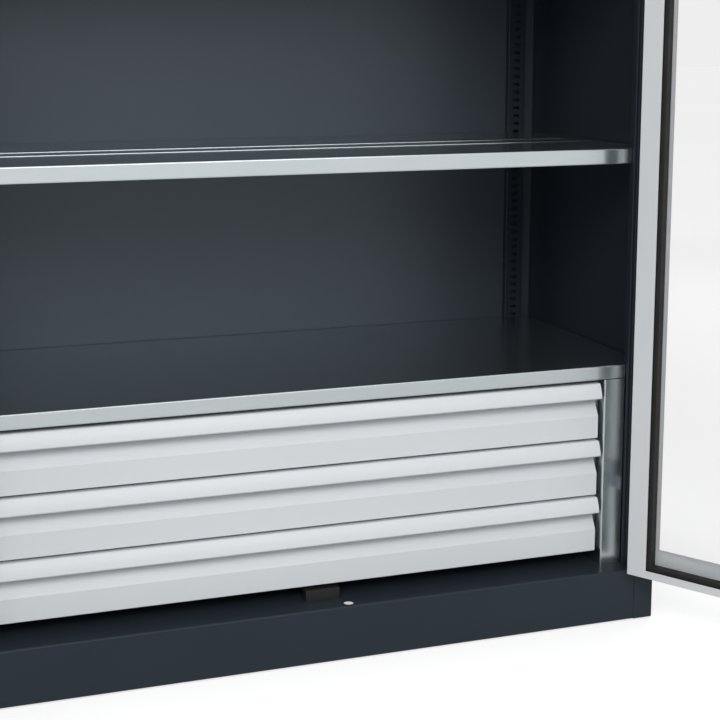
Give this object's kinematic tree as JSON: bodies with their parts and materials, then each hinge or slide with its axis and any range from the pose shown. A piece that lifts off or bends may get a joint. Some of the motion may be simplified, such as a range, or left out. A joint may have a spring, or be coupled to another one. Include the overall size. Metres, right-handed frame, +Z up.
{
  "type": "heavy-duty storage cabinet",
  "caption": "Tall steel storage cabinet with glazed wing doors, shelves on slotted rails, drawers with rolled grip fronts on telescopic slides, and a rod lock.",
  "frame": {"origin": "on the floor, under the middle of the carcass front, which lies within a few millimetres of the middle of the box round the cabinet with its doors open", "axes": "+X to the right seen from the front, +Y into the cabinet, +Z up"},
  "size_m": [1.7163, 1.0122, 1.95],
  "materials": {
    "carcass_blue": "anthracite powder coat, satin",
    "light_grey": "light grey powder coat, satin",
    "zinc": "bright zinc-plated sheet",
    "black_plastic": "black, fine grain",
    "seal": "black, matt",
    "pane": "clear"
  },
  "bodies": {
    "carcass": {"side_panel_left": "carcass_blue", "side_panel_right": "carcass_blue", "back_panel": "carcass_blue", "roof_panel": "carcass_blue", "floor_panel": "carcass_blue", "rear_plinth": "carcass_blue", "foot_plates": "zinc", "levelling_feet": "black_plastic", "rail_front_left": "carcass_blue", "rail_front_right": "carcass_blue", "rail_rear_left": "carcass_blue", "rail_rear_right": "carcass_blue", "shelf_lower": "zinc", "shelf_middle": "zinc", "shelf_upper": "zinc", "shelf_hooks": "zinc", "cover_shelf": "zinc", "drawer_frame_left": "zinc", "drawer_frame_right": "zinc", "slide_outers": "zinc", "door_stop": "black_plastic", "post_hinge_halves": "zinc", "hinge_pins": "zinc"},
    "left_door": {"left_door_panel": "light_grey", "left_door_pane": "pane", "left_window_seal": "seal", "left_hinge_halves": "zinc", "lap_strip": "light_grey"},
    "right_door": {"right_door_panel": "light_grey", "right_door_pane": "pane", "right_window_seal": "seal", "right_hinge_halves": "zinc", "lock_case": "black_plastic", "rod_guides": "black_plastic", "escutcheon": "black_plastic"},
    "door_handle": {"handle": "black_plastic", "lock_cam": "zinc"},
    "plug": {"lock_plug": "zinc"},
    "rod_up": {"upper_rod": "zinc"},
    "rod_down": {"lower_rod": "zinc"},
    "drawer_bottom": {"drawer_front_bottom": "light_grey", "drawer_tray_bottom": "light_grey", "slide_inners_bottom": "zinc"},
    "slide_bottom": {"slide_middles_bottom": "zinc"},
    "drawer_middle": {"drawer_front_middle": "light_grey", "drawer_tray_middle": "light_grey", "slide_inners_middle": "zinc"},
    "slide_middle": {"slide_middles_middle": "zinc"},
    "drawer_top": {"drawer_front_top": "light_grey", "drawer_tray_top": "light_grey", "slide_inners_top": "zinc"},
    "slide_top": {"slide_middles_top": "zinc"}
  },
  "joints": [
    {"name": "left_door_hinge", "type": "hinge", "parent": "carcass", "child": "left_door", "pos_m": [-0.56125, -0.005, 1], "axis": [0, 0, -1], "range_deg": [-121.5, 0]},
    {"name": "right_door_hinge", "type": "hinge", "parent": "carcass", "child": "right_door", "pos_m": [0.56125, -0.005, 1], "axis": [0, 0, 1], "range_deg": [-121.5, 0]},
    {"name": "handle_turn", "type": "hinge", "parent": "right_door", "child": "door_handle", "pos_m": [0.82333, -0.44225, 1.02], "axis": [0.8526, 0.5225, 0], "range_deg": [-90, 0]},
    {"name": "plug_turn", "type": "hinge", "parent": "door_handle", "child": "plug", "pos_m": [0.82333, -0.44225, 1.02], "axis": [0.8526, 0.5225, 0], "range_deg": [0, 90]},
    {"name": "upper_rod_slide", "type": "slide", "parent": "right_door", "child": "rod_up", "axis": [0, 0, 1], "range_m": [0, 0.02]},
    {"name": "lower_rod_slide", "type": "slide", "parent": "right_door", "child": "rod_down", "axis": [0, 0, -1], "range_m": [0, 0.02]},
    {"name": "drawer_bottom_slide", "type": "slide", "parent": "carcass", "child": "drawer_bottom", "axis": [0, -1, 0], "range_m": [0, 0.4]},
    {"name": "slide_bottom_travel", "type": "slide", "parent": "carcass", "child": "slide_bottom", "axis": [0, -1, 0], "range_m": [0, 0.2]},
    {"name": "drawer_middle_slide", "type": "slide", "parent": "carcass", "child": "drawer_middle", "axis": [0, -1, 0], "range_m": [0, 0.4]},
    {"name": "slide_middle_travel", "type": "slide", "parent": "carcass", "child": "slide_middle", "axis": [0, -1, 0], "range_m": [0, 0.2]},
    {"name": "drawer_top_slide", "type": "slide", "parent": "carcass", "child": "drawer_top", "axis": [0, -1, 0], "range_m": [0, 0.4]},
    {"name": "slide_top_travel", "type": "slide", "parent": "carcass", "child": "slide_top", "axis": [0, -1, 0], "range_m": [0, 0.2]}
  ],
  "couplings": [
    {"joint": "upper_rod_slide", "follows": "handle_turn", "m_per_rad": -0.012732},
    {"joint": "lower_rod_slide", "follows": "handle_turn", "m_per_rad": -0.012732},
    {"joint": "slide_bottom_travel", "follows": "drawer_bottom_slide", "ratio": 0.5},
    {"joint": "slide_middle_travel", "follows": "drawer_middle_slide", "ratio": 0.5},
    {"joint": "slide_top_travel", "follows": "drawer_top_slide", "ratio": 0.5}
  ]
}
